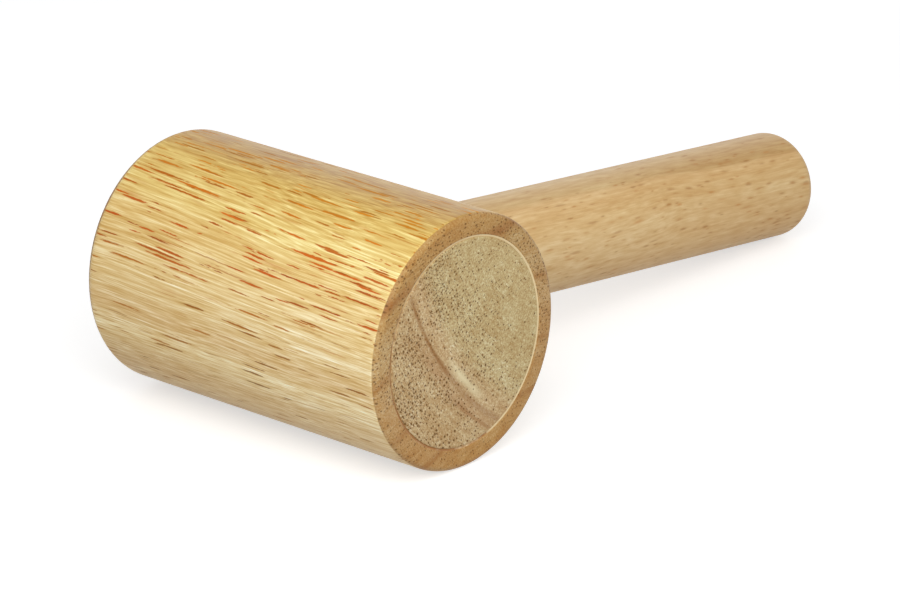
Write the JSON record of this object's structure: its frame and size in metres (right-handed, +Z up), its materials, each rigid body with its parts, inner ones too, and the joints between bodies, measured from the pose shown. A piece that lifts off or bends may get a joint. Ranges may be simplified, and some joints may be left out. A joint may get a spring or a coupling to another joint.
{
  "type": "hammer shaker",
  "caption": "Wooden percussion shaker shaped like a small mallet: a hollow barrel head closed by a disc at each end, with loose steel shot inside, on a plain dowel handle.",
  "frame": {"origin": "middle of the object's box, on the surface that it lies on", "axes": "+X along the head to its front face, +Y to the handle's free end, +Z up from the surface"},
  "size_m": [0.092, 0.2026, 0.06],
  "materials": {
    "barrel_wood": "satin",
    "cap_wood": "satin, end grain",
    "handle_wood": "satin",
    "shot_steel": "tumbled bright"
  },
  "bodies": {
    "hammer": {"head_shell": "barrel_wood", "front_cap": "cap_wood", "rear_cap": "cap_wood", "handle": "handle_wood"},
    "shot_row1": {"shot_row1_ball1": "shot_steel", "shot_row1_ball2": "shot_steel", "shot_row1_ball3": "shot_steel", "shot_row1_ball4": "shot_steel", "shot_row1_ball5": "shot_steel", "shot_row1_ball6": "shot_steel"},
    "shot_row2": {"shot_row2_ball1": "shot_steel", "shot_row2_ball2": "shot_steel", "shot_row2_ball3": "shot_steel", "shot_row2_ball4": "shot_steel", "shot_row2_ball5": "shot_steel", "shot_row2_ball6": "shot_steel"},
    "shot_row3": {"shot_row3_ball1": "shot_steel", "shot_row3_ball2": "shot_steel", "shot_row3_ball3": "shot_steel", "shot_row3_ball4": "shot_steel", "shot_row3_ball5": "shot_steel", "shot_row3_ball6": "shot_steel"},
    "shot_row4": {"shot_row4_ball1": "shot_steel", "shot_row4_ball2": "shot_steel", "shot_row4_ball3": "shot_steel", "shot_row4_ball4": "shot_steel", "shot_row4_ball5": "shot_steel", "shot_row4_ball6": "shot_steel"},
    "shot_row5": {"shot_row5_ball1": "shot_steel", "shot_row5_ball2": "shot_steel", "shot_row5_ball3": "shot_steel", "shot_row5_ball4": "shot_steel", "shot_row5_ball5": "shot_steel", "shot_row5_ball6": "shot_steel"},
    "shot_row6": {"shot_row6_ball1": "shot_steel", "shot_row6_ball2": "shot_steel", "shot_row6_ball3": "shot_steel", "shot_row6_ball4": "shot_steel", "shot_row6_ball5": "shot_steel", "shot_row6_ball6": "shot_steel"},
    "shot_row7": {"shot_row7_ball1": "shot_steel", "shot_row7_ball2": "shot_steel", "shot_row7_ball3": "shot_steel", "shot_row7_ball4": "shot_steel", "shot_row7_ball5": "shot_steel", "shot_row7_ball6": "shot_steel"}
  },
  "joints": [
    {"name": "shot_row1_slide", "type": "slide", "parent": "hammer", "child": "shot_row1", "axis": [1, 0, 0], "range_m": [-0.01449, 0.0324]},
    {"name": "shot_row2_slide", "type": "slide", "parent": "hammer", "child": "shot_row2", "axis": [1, 0, 0], "range_m": [-0.04347, 0.00342]},
    {"name": "shot_row3_slide", "type": "slide", "parent": "hammer", "child": "shot_row3", "axis": [1, 0, 0], "range_m": [-0.02556, 0.02133]},
    {"name": "shot_row4_slide", "type": "slide", "parent": "hammer", "child": "shot_row4", "axis": [1, 0, 0], "range_m": [-0.00765, 0.03924]},
    {"name": "shot_row5_slide", "type": "slide", "parent": "hammer", "child": "shot_row5", "axis": [1, 0, 0], "range_m": [-0.03663, 0.01026]},
    {"name": "shot_row6_slide", "type": "slide", "parent": "hammer", "child": "shot_row6", "axis": [1, 0, 0], "range_m": [-0.01872, 0.02817]},
    {"name": "shot_row7_slide", "type": "slide", "parent": "hammer", "child": "shot_row7", "axis": [1, 0, 0], "range_m": [-0.0008, 0.04609]}
  ]
}
